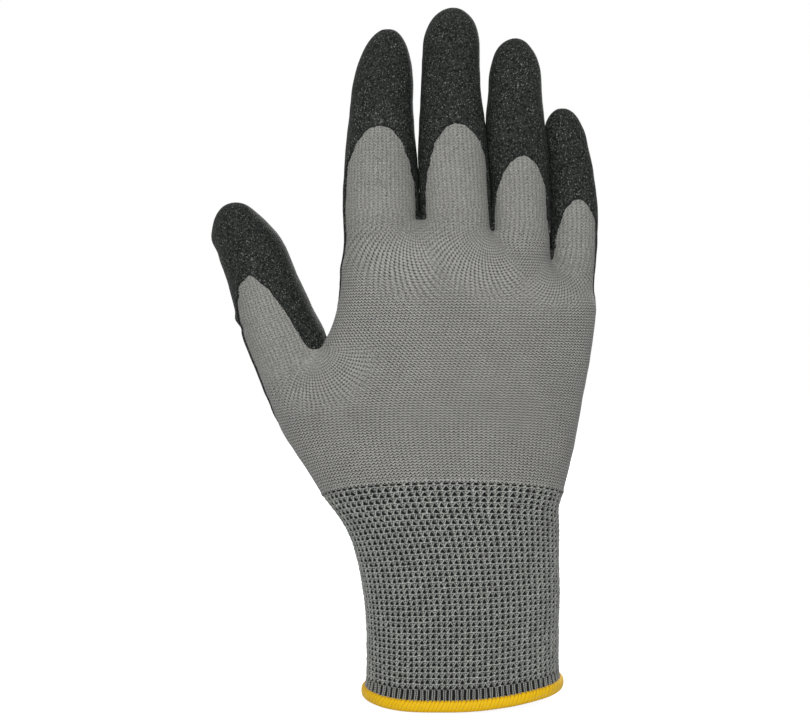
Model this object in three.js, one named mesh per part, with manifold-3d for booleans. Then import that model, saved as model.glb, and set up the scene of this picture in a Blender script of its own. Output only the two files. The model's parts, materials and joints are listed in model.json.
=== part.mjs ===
// A right-hand work glove in its worn shape: a seamless knitted liner made of a rib cuff, a hand and five
// finger tubes, a foam coating dipped over the palm and the fingertips, and an overlocked hem at the opening.
// Millimetres. +Z runs from the hem to the fingertips, the back of the hand faces -Y and the palm +Y.
// The origin is the centre of the hand opening, in the plane of the hem's lower rim.
import * as THREE from 'three';
import { mergeVertices } from 'three/addons/utils/BufferGeometryUtils.js';
import Module from 'manifold-3d';

const wasm = await Module();
wasm.setup();

// ---- walls and clearances ----
const KNIT_WALL = 1.0;
const RIB_WALL = 1.4;
const COAT_WALL = 0.8;
const COAT_GAP = 0.3;
const JOINT_GAP = 0.4;
const FINGER_GAP = 0.4;
const SKIN = COAT_GAP + COAT_WALL;

// ---- cuff and hem ----
const CUFF_LENGTH = 72;
const CUFF_WIDTH = 65;
const CUFF_DEPTH = 44;
const CUFF_TOP_DEPTH = 46;
const FLARE_START = 34;
const FLARE_POWER = 2.2;
const THUMB_FLARE = 17;
const HEM_HEIGHT = 4;
const HEM_OVERHANG = 1.8;
const HEM_LIP = 0.9;
const HEM_FLOOR = 0.9;
const HEM_FIT = 0.3;

// ---- hand ----
const HAND_LENGTH = 83;
const KNUCKLE_DEPTH = 27;
const PALM_SQUARENESS = 2.3;
const FIRST_FINGER_EDGE = -40.4;
const THUMB_SIDE_REACH = 21.5;
const COAT_LOWER_EDGE = 12;
const COAT_SIDE_LINE = 3;

// The hand between the cuff (0) and the knuckles (1): how far the thumb side stands out, as a share of
// THUMB_SIDE_REACH, and how full the depth is between the cuff's depth (0) and the knuckles' depth (1).
const HAND_STATIONS = [
  { along: -0.08, reach: 0.34, depth: 0 },
  { along: 0, reach: 0.43, depth: 0 },
  { along: 0.16, reach: 0.78, depth: 0.05 },
  { along: 0.3, reach: 0.98, depth: 0.14 },
  { along: 0.41, reach: 0.78, depth: 0.26 },
  { along: 0.51, reach: 0.42, depth: 0.38 },
  { along: 0.63, reach: 0.19, depth: 0.52 },
  { along: 0.78, reach: 0.06, depth: 0.72 },
  { along: 1, reach: 0, depth: 1 },
  { along: 1.08, reach: 0, depth: 1.08 },
];

// ---- fingers, from the thumb side outwards ----
// width: at the root. tipWidth: where the dome starts. root: the knuckle below (+) or above (-) the hand's top.
// lengths: knuckle to middle joint, middle to end joint, end joint to tip. lean: sideways drift of the tip.
// palmward: how far the root sits toward the palm. cap: knuckle to the coating's upper edge on the back.
const FINGERS = [
  {
    name: 'index', width: 26, tipWidth: 21, dome: 21, root: 0,
    lengths: [31, 21, 20.6], lean: 2, palmward: 0, cap: 39.5,
  },
  {
    name: 'middle', width: 23.8, tipWidth: 20, dome: 20, root: 0,
    lengths: [34, 23, 22.9], lean: -2, palmward: -1, cap: 40.3,
  },
  {
    name: 'ring', width: 20.4, tipWidth: 18.6, dome: 19, root: 2,
    lengths: [30, 21, 20.9], lean: -1.8, palmward: 0.5, cap: 31.3,
  },
  {
    name: 'little', width: 15.6, tipWidth: 14.2, dome: 14, root: 11,
    lengths: [24, 16, 16.5], lean: -3, palmward: 3.5, cap: 25.4,
  },
];
const FINGER_FLATNESS = 0.86;
const FINGER_CURL = 2;
const TONGUE_SHARE = 0.92;
const TONGUE_ARCH = 22;
const TONGUE_DEEP = 1;

// ---- thumb ----
const THUMB = {
  hinge: [-16.6, 5, 40],
  tilt: 18.7,
  roll: 22,
  lengths: [28.5, 32],
  flatness: 0.9,
  dome: 15,
  cap: 31,
  archHeight: 24,
};
// Distance along the thumb from its knuckle, sideways shift of the centre, and width.
const THUMB_STATIONS = [
  { along: -25, shift: 9, width: 22 },
  { along: -12, shift: 1.6, width: 26 },
  { along: 0, shift: 0, width: 26.2 },
  { along: 12, shift: 0.4, width: 25.8 },
  { along: 24, shift: -0.5, width: 24.8 },
  { along: 37, shift: -0.8, width: 23.2 },
];

// ---- ranges of the joints, in degrees ----
const KNUCKLE_BEND = 80;
const MIDDLE_BEND = 90;
const END_BEND = 45;
const THUMB_KNUCKLE_BEND = 50;
const THUMB_END_BEND = 65;
const WRIST_BEND = 25;

// ---- fineness of the faceted solids ----
const BODY_SIDES = 24;
const FINGER_SIDES = 12;
const DOME_STEPS = 3;
const DOME_FULLNESS = 0.8;
const TIP_FLAT = 0.2;
const ARCH_STEPS = 6;
const FLARE_STEPS = 4;
const LIMB_STEP = 12;
const WELD = 1e-4;

// ---- how far cutting solids run past what they cut ----
const FAR = 130;
const REACH = 45;
const OVERRUN = REACH / 4;

const X = new THREE.Vector3(1, 0, 0);
const Y = new THREE.Vector3(0, 1, 0);
const Z = new THREE.Vector3(0, 0, 1);

const finishes = {
  knit: { color: 0x868780, roughness: 0.9, metalness: 0 },
  rib: { color: 0x6f706b, roughness: 0.9, metalness: 0 },
  coating: { color: 0x2a2c2b, roughness: 0.75, metalness: 0 },
  hem: { color: 0xfcc40a, roughness: 0.8, metalness: 0 },
};

const radians = THREE.MathUtils.degToRad;
const lerp = THREE.MathUtils.lerp;

// ---- solids ----

function toSolid(geometry) {
  const bare = geometry.clone();
  bare.deleteAttribute('normal');
  bare.deleteAttribute('uv');
  const merged = mergeVertices(bare, WELD);
  const vertProperties = new Float32Array(merged.attributes.position.array);
  const triVerts = new Uint32Array(merged.index.array);
  return new wasm.Manifold(new wasm.Mesh({ numProp: 3, vertProperties, triVerts }));
}

function toMesh(name, solid, finish) {
  const { numProp, vertProperties, triVerts } = solid.getMesh();
  if (numProp !== 3) throw new Error(`${name} carries more than positions`);
  const geometry = new THREE.BufferGeometry();
  geometry.setAttribute('position', new THREE.BufferAttribute(vertProperties, 3));
  geometry.setIndex(new THREE.BufferAttribute(triVerts, 1));
  geometry.computeVertexNormals();
  const mesh = new THREE.Mesh(geometry, new THREE.MeshStandardMaterial(finishes[finish]));
  mesh.name = name;
  return mesh;
}

// A closed skin through rings of points. Each station is { centre, across, deep, halfWidth, halfDepth } with an
// optional power (2 is an ellipse, more is squarer). offset moves the skin outwards, and a station with a pole
// also moves along the pole by its share of the offset.
function loft(stations, offset, sides) {
  const positions = [];
  for (const station of stations) {
    for (let k = 0; k < sides; k += 1) {
      const point = ringPoint(station, offset, (2 * Math.PI * k) / sides);
      positions.push(point.x, point.y, point.z);
    }
  }
  const bottom = shifted(stations[0], offset);
  const top = shifted(stations[stations.length - 1], offset);
  positions.push(bottom.x, bottom.y, bottom.z, top.x, top.y, top.z);
  const bottomIndex = stations.length * sides;
  const triangles = [];
  for (let k = 0; k < sides; k += 1) {
    const next = (k + 1) % sides;
    triangles.push(bottomIndex, next, k);
    for (let i = 0; i + 1 < stations.length; i += 1) {
      const low = i * sides;
      const high = low + sides;
      triangles.push(low + k, low + next, high + next, low + k, high + next, high + k);
    }
    const rim = (stations.length - 1) * sides;
    triangles.push(bottomIndex + 1, rim + k, rim + next);
  }
  const geometry = new THREE.BufferGeometry();
  geometry.setAttribute('position', new THREE.Float32BufferAttribute(positions, 3));
  geometry.setIndex(triangles);
  return toSolid(geometry);
}

function shifted(station, offset) {
  const centre = station.centre.clone();
  return station.pole ? centre.addScaledVector(station.pole, offset * station.share) : centre;
}

function ringPoint(station, offset, angle) {
  const round = 2 / (station.power ?? 2);
  const wide = Math.sign(Math.cos(angle)) * Math.abs(Math.cos(angle)) ** round;
  const deep = Math.sign(Math.sin(angle)) * Math.abs(Math.sin(angle)) ** round;
  return shifted(station, offset)
    .addScaledVector(station.across, wide * (station.halfWidth + offset))
    .addScaledVector(station.deep, deep * (station.halfDepth + offset));
}

// A prism whose outline lies in the plane of u and v and which runs from low to high along u x v.
function prism(outline, origin, u, v, low, high) {
  const options = { depth: high - low, bevelEnabled: false, curveSegments: ARCH_STEPS };
  const geometry = new THREE.ExtrudeGeometry(outline, options);
  const w = new THREE.Vector3().crossVectors(u, v);
  const frame = new THREE.Matrix4().makeBasis(u, v, w);
  frame.setPosition(origin.clone().addScaledVector(w, low));
  geometry.applyMatrix4(frame);
  return toSolid(geometry);
}

function outlineOf(points) {
  return new THREE.Shape(points.map(([a, b]) => new THREE.Vector2(a, b)));
}

// ---- joints ----
// A hinge has a place, the direction along the limb, the direction toward the palm, and how far the limb
// bends toward the palm and backward. Both halves leave a notch of half the bend on the side they bend to.

function notch(hinge, side) {
  const open = side * (JOINT_GAP / 2);
  const palmSlope = side * REACH * Math.tan(radians(hinge.bend / 2));
  const backSlope = side * REACH * Math.tan(radians(hinge.backBend / 2));
  return { open, palmSlope, backSlope };
}

// All the space on one side of a hinge: side 1 is toward the fingertip, side -1 toward the wrist.
function beyond(hinge, side, low = -FAR, high = FAR) {
  const { open, palmSlope, backSlope } = notch(hinge, side);
  const points = [
    [open + backSlope, -REACH],
    [open, 0],
    [open + palmSlope, REACH],
    [side * FAR, REACH],
    [side * FAR, -REACH],
  ];
  return prism(outlineOf(points), hinge.at, hinge.along, hinge.palm, low, high);
}

// The space that a limb and its notch take out of what carries it.
function clearFor(hinge, low, high) {
  const { open, palmSlope, backSlope } = notch(hinge, -1);
  const points = [
    [open + backSlope, -REACH],
    [open, 0],
    [open + palmSlope, REACH],
    [FAR, REACH],
    [FAR, -REACH],
  ];
  return prism(outlineOf(points), hinge.at, hinge.along, hinge.palm, low, high);
}

// ---- cuff and hem ----

const handTop = CUFF_LENGTH + HAND_LENGTH;

const wrist = { at: new THREE.Vector3(0, 0, CUFF_LENGTH), along: Z, palm: Y, bend: WRIST_BEND, backBend: WRIST_BEND };

function cuffEdges(z) {
  const rise = Math.max(0, (z - FLARE_START) / (CUFF_LENGTH - FLARE_START));
  return { left: -CUFF_WIDTH / 2 - THUMB_FLARE * rise ** FLARE_POWER, right: CUFF_WIDTH / 2 };
}

function bodyStation(z, left, right, depth) {
  return {
    centre: new THREE.Vector3((left + right) / 2, 0, z),
    across: X,
    deep: Y,
    halfWidth: (right - left) / 2,
    halfDepth: depth / 2,
    power: PALM_SQUARENESS,
  };
}

function cuffStations(bottom) {
  const heights = [bottom, FLARE_START];
  for (let i = 1; i <= FLARE_STEPS; i += 1) heights.push(lerp(FLARE_START, CUFF_LENGTH, i / FLARE_STEPS));
  heights.push(CUFF_LENGTH + OVERRUN);
  return heights.map((z) => {
    const { left, right } = cuffEdges(Math.min(z, CUFF_LENGTH));
    const depth = lerp(CUFF_DEPTH, CUFF_TOP_DEPTH, Math.min(1, z / CUFF_LENGTH));
    return bodyStation(z, left, right, depth);
  });
}

function cuff() {
  const stations = cuffStations(HEM_FLOOR + HEM_FIT);
  const below = new THREE.Vector3(stations[0].centre.x, 0, -HEM_HEIGHT);
  const hollow = [{ ...stations[0], centre: below }, ...stations.slice(1)];
  const shell = loft(stations, 0, BODY_SIDES).subtract(loft(hollow, -RIB_WALL, BODY_SIDES));
  return shell.intersect(beyond(wrist, -1));
}

// The hem wraps the cuff's raw edge: a channel with an outer band, a floor and an inner lip.
function hem() {
  const flat = (z) => bodyStation(z, -CUFF_WIDTH / 2, CUFF_WIDTH / 2, CUFF_DEPTH);
  const band = loft([flat(0), flat(HEM_HEIGHT)], HEM_OVERHANG, BODY_SIDES);
  const mouth = loft([flat(-1), flat(HEM_HEIGHT + 1)], -RIB_WALL - HEM_FIT - HEM_LIP, BODY_SIDES);
  const slotOuter = loft([flat(HEM_FLOOR), flat(HEM_HEIGHT + 1)], HEM_FIT, BODY_SIDES);
  const slotInner = loft([flat(HEM_FLOOR - 1), flat(HEM_HEIGHT + 2)], -RIB_WALL - HEM_FIT, BODY_SIDES);
  return band.subtract(mouth).subtract(slotOuter.subtract(slotInner));
}

// ---- fingers ----

// Each finger's root slot follows the one before it across the top of the hand.
let slotEdge = FIRST_FINGER_EDGE;
for (const finger of FINGERS) {
  finger.slot = [slotEdge, slotEdge + finger.width];
  slotEdge += finger.width + FINGER_GAP;
  finger.base = new THREE.Vector3((finger.slot[0] + finger.slot[1]) / 2, finger.palmward, handTop - finger.root);
  finger.length = finger.lengths[0] + finger.lengths[1] + finger.lengths[2];
}
const lastFingerEdge = slotEdge - FINGER_GAP;

function fingerCentre(finger, along) {
  const share = Math.max(0, along / finger.length) ** 2;
  return finger.base.clone().add(new THREE.Vector3(finger.lean * share, FINGER_CURL * share, along));
}

function fingerHalfWidth(finger, along) {
  const share = Math.max(0, Math.min(1, along / (finger.length - finger.dome)));
  return lerp(finger.width, finger.tipWidth, share) / 2 - SKIN;
}

function fingerStation(finger, along, shrink = 1, share = 0) {
  const halfWidth = fingerHalfWidth(finger, along) * shrink;
  const centre = fingerCentre(finger, along);
  return { centre, across: X, deep: Y, halfWidth, halfDepth: halfWidth * FINGER_FLATNESS, pole: Z, share };
}

// Stations up a limb that ends in a dome: the straight part in even steps, then rings on a quarter ellipse.
function limbStations(station, start, length, dome) {
  const shoulder = length - dome;
  const steps = Math.ceil((shoulder - start) / LIMB_STEP);
  const rings = [];
  for (let i = 0; i <= steps; i += 1) rings.push(station(lerp(start, shoulder, i / steps), 1, i > 0 ? 0 : -1));
  for (let i = 1; i <= DOME_STEPS; i += 1) {
    const angle = (i / (DOME_STEPS + 0.5)) * (Math.PI / 2);
    const shrink = Math.cos(angle) ** DOME_FULLNESS;
    rings.push(station(shoulder + (dome - SKIN) * Math.sin(angle), shrink, Math.sin(angle)));
  }
  rings.push(station(length - SKIN, TIP_FLAT, 1));
  return rings;
}

function fingerSkin(finger, offset) {
  const start = -finger.width / 2;
  const station = (along, shrink, share) => fingerStation(finger, along, shrink, share);
  const stations = limbStations(station, start, finger.length, finger.dome);
  return loft(stations, offset, FINGER_SIDES);
}

function fingerHinges(finger) {
  const bends = [KNUCKLE_BEND, MIDDLE_BEND, END_BEND];
  let along = 0;
  return bends.map((bend, i) => {
    if (i > 0) along += finger.lengths[i - 1];
    return { at: fingerCentre(finger, along), along: Z, palm: Y, bend, backBend: 0 };
  });
}

// The uncoated tongue on the back of a finger, with its arched top `cap` above the knuckle.
function tongue(halfWidth, cap, archHeight) {
  const shape = new THREE.Shape();
  shape.moveTo(-halfWidth, -FAR);
  shape.lineTo(halfWidth, -FAR);
  shape.lineTo(halfWidth, cap - archHeight);
  shape.absellipse(0, cap - archHeight, halfWidth, archHeight, 0, Math.PI, false, 0);
  return shape;
}

function fingerTongue(finger) {
  const halfWidth = (fingerHalfWidth(finger, finger.lengths[0]) + SKIN) * TONGUE_SHARE;
  const at = fingerCentre(finger, finger.lengths[0]);
  at.z = finger.base.z;
  const shape = tongue(halfWidth, finger.cap, TONGUE_ARCH);
  return prism(shape, at, X, Z, -TONGUE_DEEP, FAR);
}

// Cuts a limb's skins at its hinges, one piece between each hinge and the next.
function limbPieces(skin, hinges) {
  return hinges.map((hinge, i) => {
    const piece = skin.intersect(beyond(hinge, 1));
    return i + 1 < hinges.length ? piece.intersect(beyond(hinges[i + 1], -1)) : piece;
  });
}

function limbMeshes(name, levels, knitSkin, coatSkin, hinges) {
  const knit = limbPieces(knitSkin, hinges);
  const coat = limbPieces(coatSkin, hinges);
  return levels.flatMap((level, i) => [
    toMesh(`${name}_${level}_knit`, knit[i], 'knit'),
    toMesh(`${name}_${level}_coating`, coat[i], 'coating'),
  ]);
}

function fingerMeshes(finger) {
  const knit = fingerSkin(finger, 0).subtract(fingerSkin(finger, -KNIT_WALL));
  const coat = fingerSkin(finger, SKIN).subtract(fingerSkin(finger, COAT_GAP)).subtract(fingerTongue(finger));
  return limbMeshes(finger.name, ['proximal', 'middle', 'distal'], knit, coat, fingerHinges(finger));
}

// ---- thumb ----

const thumbAlong = new THREE.Vector3(-Math.sin(radians(THUMB.tilt)), 0, Math.cos(radians(THUMB.tilt)));
const thumbSide = new THREE.Vector3(Math.cos(radians(THUMB.tilt)), 0, Math.sin(radians(THUMB.tilt)));
const thumbAcross = thumbSide.clone().multiplyScalar(Math.cos(radians(THUMB.roll)))
  .addScaledVector(Y, -Math.sin(radians(THUMB.roll)));
const thumbPalm = thumbSide.clone().multiplyScalar(Math.sin(radians(THUMB.roll)))
  .addScaledVector(Y, Math.cos(radians(THUMB.roll)));
const thumbBase = new THREE.Vector3(
  FIRST_FINGER_EDGE + THUMB.hinge[0],
  THUMB.hinge[1],
  CUFF_LENGTH + THUMB.hinge[2],
);
const thumbLength = THUMB.lengths[0] + THUMB.lengths[1];

// A value of the thumb's stations at any distance along it.
function thumbValue(along, key) {
  const last = THUMB_STATIONS.length - 1;
  const i = THUMB_STATIONS.findIndex((s, k) => k === last || along < THUMB_STATIONS[k + 1].along);
  if (i === last) return THUMB_STATIONS[last][key];
  const [a, b] = [THUMB_STATIONS[i], THUMB_STATIONS[i + 1]];
  return lerp(a[key], b[key], (along - a.along) / (b.along - a.along));
}

function thumbStation(along, shrink = 1, share = 0) {
  const halfWidth = (thumbValue(along, 'width') / 2 - SKIN) * shrink;
  const centre = thumbBase.clone().addScaledVector(thumbAlong, along)
    .addScaledVector(thumbSide, thumbValue(along, 'shift'));
  const halfDepth = halfWidth * THUMB.flatness;
  return { centre, across: thumbAcross, deep: thumbPalm, halfWidth, halfDepth, pole: thumbAlong, share };
}

function thumbSkin(offset) {
  const stations = limbStations(thumbStation, THUMB_STATIONS[0].along, thumbLength, THUMB.dome);
  return loft(stations, offset, FINGER_SIDES);
}

const thumbHinges = [
  { at: thumbStation(0).centre, along: thumbAlong, palm: thumbPalm, bend: THUMB_KNUCKLE_BEND, backBend: 0 },
  {
    at: thumbStation(THUMB.lengths[0]).centre,
    along: thumbAlong,
    palm: thumbPalm,
    bend: THUMB_END_BEND,
    backBend: 0,
  },
];

function thumbMeshes() {
  const knit = thumbSkin(0).subtract(thumbSkin(-KNIT_WALL));
  const shape = tongue((THUMB_STATIONS[2].width / 2) * TONGUE_SHARE, THUMB.cap, THUMB.archHeight);
  const bare = prism(shape, thumbBase, thumbAcross, thumbAlong, -TONGUE_DEEP, FAR);
  const coat = thumbSkin(SKIN).subtract(thumbSkin(COAT_GAP)).subtract(bare);
  return limbMeshes('thumb', ['proximal', 'distal'], knit, coat, thumbHinges);
}

// ---- hand ----

function handStations() {
  return HAND_STATIONS.map(({ along, reach, depth }) => {
    const rest = Math.max(0, 1 - Math.max(0, along));
    const left = FIRST_FINGER_EDGE + SKIN - THUMB_SIDE_REACH * reach;
    const right = lerp(lastFingerEdge - SKIN, cuffEdges(CUFF_LENGTH).right, rest ** 2);
    const full = lerp(CUFF_TOP_DEPTH, KNUCKLE_DEPTH, depth);
    return bodyStation(CUFF_LENGTH + along * HAND_LENGTH, left, right, full);
  });
}

// The hand and the root of the thumb as one skin.
function handSkin(offset) {
  const rootEnd = { ...thumbHinges[0], at: thumbBase.clone().addScaledVector(thumbAlong, OVERRUN) };
  const root = thumbSkin(offset).intersect(beyond(rootEnd, -1));
  return loft(handStations(), offset, BODY_SIDES).add(root);
}

// What the thumb, the fingers and the wrist take out of the hand.
function openHand(shell) {
  const rootHalf = THUMB_STATIONS[2].width / 2;
  let hand = shell.intersect(beyond(wrist, 1)).subtract(clearFor(thumbHinges[0], -rootHalf - FINGER_GAP, FAR));
  for (const finger of FINGERS) {
    const hinge = fingerHinges(finger)[0];
    const low = finger === FINGERS[FINGERS.length - 1] ? -FAR : finger.base.x - finger.slot[1] - FINGER_GAP;
    const high = finger === FINGERS[0] ? FAR : finger.base.x - finger.slot[0] + FINGER_GAP;
    hand = hand.subtract(clearFor(hinge, low, high));
  }
  return hand;
}

function handMeshes() {
  const knit = openHand(handSkin(0).subtract(handSkin(-KNIT_WALL)));
  const bottom = CUFF_LENGTH + COAT_LOWER_EDGE;
  const coated = new THREE.Shape();
  coated.moveTo(-FAR, FAR * 2);
  coated.lineTo(-FAR, bottom);
  coated.lineTo(FAR, bottom);
  coated.lineTo(FAR, FAR * 2);
  const palmSide = prism(coated, new THREE.Vector3(), X, Z, -FAR, -COAT_SIDE_LINE);
  const coat = openHand(handSkin(SKIN).subtract(handSkin(COAT_GAP)).intersect(palmSide));
  return [toMesh('hand_knit', knit, 'knit'), toMesh('palm_coating', coat, 'coating')];
}

// ---- the glove ----

const glove = new THREE.Group();
glove.add(toMesh('cuff_rib', cuff(), 'rib'));
glove.add(toMesh('cuff_hem', hem(), 'hem'));
glove.add(...handMeshes());
glove.add(...thumbMeshes());
for (const finger of FINGERS) glove.add(...fingerMeshes(finger));

export default glove;
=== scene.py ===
"""A right-hand work glove in its worn shape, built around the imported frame.

Lengths in this file are millimetres until a mesh is made. +Z runs from the hem to the fingertips, the back
of the hand faces -Y and the palm +Y. The skin of the glove is the zero level of one field: the gap between a
point and the nearest of the hand, the thumb and the four fingers, with fillets where they join. The hand is
meshed from that field on a lattice, and the fingers, the thumb and the cuff, which are plain tubes, on grids.
"""
import json
import math
from itertools import product

import bmesh
import bpy
import numpy as np
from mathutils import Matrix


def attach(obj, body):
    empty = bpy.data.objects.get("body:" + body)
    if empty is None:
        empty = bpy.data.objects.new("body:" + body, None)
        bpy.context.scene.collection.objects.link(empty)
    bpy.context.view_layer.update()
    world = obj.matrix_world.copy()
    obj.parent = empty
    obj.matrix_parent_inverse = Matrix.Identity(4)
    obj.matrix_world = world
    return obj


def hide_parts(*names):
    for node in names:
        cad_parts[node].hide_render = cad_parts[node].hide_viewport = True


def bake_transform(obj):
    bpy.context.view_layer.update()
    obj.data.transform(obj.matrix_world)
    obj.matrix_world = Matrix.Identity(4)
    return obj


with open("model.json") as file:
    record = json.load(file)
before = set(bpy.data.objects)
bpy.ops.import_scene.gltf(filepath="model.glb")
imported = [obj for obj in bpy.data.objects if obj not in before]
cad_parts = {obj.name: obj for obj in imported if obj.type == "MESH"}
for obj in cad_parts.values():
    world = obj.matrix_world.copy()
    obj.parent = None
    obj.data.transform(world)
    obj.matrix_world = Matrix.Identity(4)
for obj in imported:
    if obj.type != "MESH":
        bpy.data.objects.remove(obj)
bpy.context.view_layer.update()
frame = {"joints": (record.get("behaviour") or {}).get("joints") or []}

MM = 0.001
JOINTS = {j["name"]: np.array(j["pos_m"]) / MM for j in frame["joints"]}

# ---- the coating over the knit ----
COAT = 0.65            # how far the coating stands off the knit
DIP = 0.35             # how far its hidden rim lies below the knit
COAT_EDGE = 1.0        # width of its rounded edge
COAT_HEM = 88.5        # lower edge of the coating on the palm
COAT_KEPT = -0.9       # faces of the coating further outside its edge than this are left out

# ---- the knit ----
KNIT_WALL = 0.8
COURSE = 0.96          # height of a stitch
HAND_WALES = 160       # stitches once round the hand

# ---- where the pieces meet ----
WRIST_START, WRIST_END = 57.0, 86.0
CELL = 0.65            # lattice of the hand's surface
THUMB_CUT = 10.0       # along the thumb, from its knuckle
THUMB_PLANE = -45.6    # the thumb's cut holds on this side of the hand only

# ---- the hand: sides, depth of its back and palm halves, and the line of the webs between the fingers ----
HAND_LEFT = [(0, -31.9), (15, -31.7), (25, -31.9), (32, -32.5), (40, -33.6), (48, -35.1), (55, -37.4),
             (60, -40), (65, -43.5), (70, -47.3), (76, -51.1), (85, -55.5), (93, -58), (100, -58.5),
             (107, -56), (115, -51.5), (119, -48.6), (124, -45.2), (130, -43.1), (140, -40.8), (150, -39.6),
             (165, -39.4)]
HAND_RIGHT = [(0, 32.9), (25, 32.9), (35, 33.3), (48, 32.9), (58, 33), (66, 33.3), (73, 35.6), (83.5, 38.1),
              (99, 40.7), (117, 44), (130, 45.7), (142, 46.9), (150, 46.9), (165, 46.6)]
BACK_DEPTH = [(0, 22), (58, 22.4), (75, 22.6), (95, 21.2), (115, 18.4), (135, 15.6), (150, 14), (165, 13)]
PALM_DEPTH = [(0, 22), (58, 22.4), (75, 22.6), (95, 22.4), (115, 20.4), (135, 17.2), (150, 14.6), (165, 13)]
HAND_POWER = 2.3       # 2 would make its section an ellipse, and more makes it squarer
WEB_LINE = [(-48, 160), (-27, 163), (-13.7, 164), (0, 161.5), (10.6, 157.6), (20, 154), (30.6, 149),
            (46, 147)]
WEB_DOME = 16          # height over which the hand's tube rounds off to the webs
WEB_FILLET = 4.5
THUMB_FILLET = 9
COAT_FILLET = 8        # rounding of the corners of the coating's edge

# Half widths and centres are of the coated finger. foot: where the rounded tip begins. arch: the bare tongue
# on the back, as centre, top, height of its rounded end and half width. gap_top: up to where the finger
# touches the next one. bends: the stretches over which the three joints bend.
FINGERS = {
    "index": dict(
        half=[(140, 13), (165, 12.95), (175, 12.65), (185, 12.2), (195, 11.4), (203, 10.7)],
        centre=[(140, -26.3), (152, -26.6), (165, -27.2), (185, -27.3), (195, -27.3), (205, -26.8),
                (215, -25.9), (227.6, -24.9)],
        foot=203, tip=227.9, tip_power=2, cut=165.5, gap_top=190.5, arch=(-27.5, 193.4, 33, 12.8),
        bends=[(165.5, 181), (181, 193), (200.5, 213.5)]),
    "middle": dict(
        half=[(140, 11.7), (163, 11.7), (175, 11.85), (185, 11.75), (195, 11.15), (205, 10.4), (219, 9.8)],
        centre=[(140, -1.4), (163, -1.4), (175, -1.95), (185, -2.7), (195, -3.05), (205, -3.4),
                (225, -3.25), (234.9, -2.7)],
        foot=219, tip=234.9, tip_power=2.4, cut=165.5, gap_top=189, arch=(-0.3, 194.0, 32, 12.0),
        bends=[(165.5, 183), (183, 195), (205.5, 218.5)]),
    "ring": dict(
        half=[(140, 10), (160, 10), (175, 10), (185, 10.35), (195, 10.2), (207, 9.1)],
        centre=[(140, 20.4), (160, 20.3), (175, 20), (185, 19.4), (195, 18.8), (205, 18.55), (224.9, 18.5)],
        foot=207, tip=224.9, tip_power=2.4, cut=162.5, gap_top=197, arch=(20.7, 183.4, 25, 9.8),
        bends=[(162.5, 177), (177, 189), (197.5, 210.5)]),
    "little": dict(
        half=[(130, 7.75), (155, 7.75), (165, 7.8), (175, 7.7), (180, 7.6), (188, 7.1)],
        centre=[(130, 36.8), (142, 38.4), (155, 39.2), (165, 39.2), (175, 38.4), (180, 38), (190, 36.6),
                (197, 35.3), (201.5, 35.2)],
        foot=188, tip=201.7, tip_power=2.6, cut=153.0, gap_top=0, arch=(39.6, 169.3, 21, 7.7),
        bends=[(153, 163), (163, 174), (178.5, 189.5)]),
}
FINGER_NAMES = list(FINGERS)
KNUCKLE_LEAN = math.radians(20)   # how far the planes of a knuckle's bend lean
FINGER_FLATNESS = 0.86
FINGER_HEEL = 20       # how far below its cut a finger's tube starts to close inside the hand
HEEL_STEEPNESS = 1.3
FINGER_PRESS, FINGER_CLEARANCE = 0.6, 0.02   # overlap of two fingers at their roots, and their gap above

# ---- the thumb, along its own line from its knuckle ----
THUMB_TILT, THUMB_ROLL = math.radians(18.7), math.radians(22)
THUMB_HALF = [(-25, 13.2), (-7, 13.5), (3.5, 13.8), (10, 14), (17, 13.5), (23.5, 12.9), (29, 12.4),
              (34, 12), (40, 11.8)]
THUMB_SHIFT = [(-25, 4.5), (-16, 2.5), (-7, 1), (3.5, 0.8), (9, 0.6), (16, -0.3), (29, -0.7), (40, -0.9),
               (46, -1.7), (52, -2.7), (57, -3), (61, -2.9)]
THUMB_HEEL, THUMB_FOOT, THUMB_TIP = -18, 40, 61
THUMB_FLATNESS = 0.9
THUMB_BENDS = [(THUMB_CUT, 21.5), (21.5, 35)]
THUMB_TONGUE_RIGHT = [(-10, 7), (5, 6.9), (8, 6.6), (13.2, 5.3), (23, 2.7), (30, -0.3), (34.5, -3.8),
                      (40, -12)]
THUMB_TONGUE_LEFT = [(-10, -14), (12, -13.2), (20, -12.2), (28.7, -10), (33, -7.1), (34.5, -3.8), (40, 4)]
THUMB_LOBE = (10.9, 8.3, 4.6)   # the rounded end of the coating at the thumb's web: across, along, radius
THUMB_WEB_SIDE = [(-25, 7), (0, 6), (10, 4.5), (20, 2), (40, 0)]        # the coating's edge on either side
THUMB_OUTER_SIDE = [(-25, 4), (-14, 0), (-4, -4.6), (8, -6.4), (24, -7), (40, -8)]
THUMB_CREASES = [(23.4, 1.7, 0.75), (19.6, 1.3, -0.45), (46.5, 2.4, -0.4), (52, 3, 0.3)]
CREASE_SLANT = 0.12


# ---- curves and fields ----

def through(x, points):
    """The smooth curve through (x, y) points: a cubic on each stretch, level beyond the ends."""
    xs, ys = np.array(points, float).T
    slopes = np.gradient(ys, xs)
    x = np.clip(x, xs[0], xs[-1])
    i = np.clip(np.searchsorted(xs, x, side="right") - 1, 0, len(xs) - 2)
    width = xs[i + 1] - xs[i]
    t = (x - xs[i]) / width
    ends = (1 + 2 * t) * (1 - t) ** 2 * ys[i] + t * t * (3 - 2 * t) * ys[i + 1]
    return ends + width * t * (1 - t) * ((1 - t) * slopes[i] - t * slopes[i + 1])


def ramp(x, low, high):
    """0 below low, 1 above high, and a smooth step between."""
    t = np.clip((x - low) / (high - low), 0, 1)
    return t * t * (3 - 2 * t)


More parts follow.
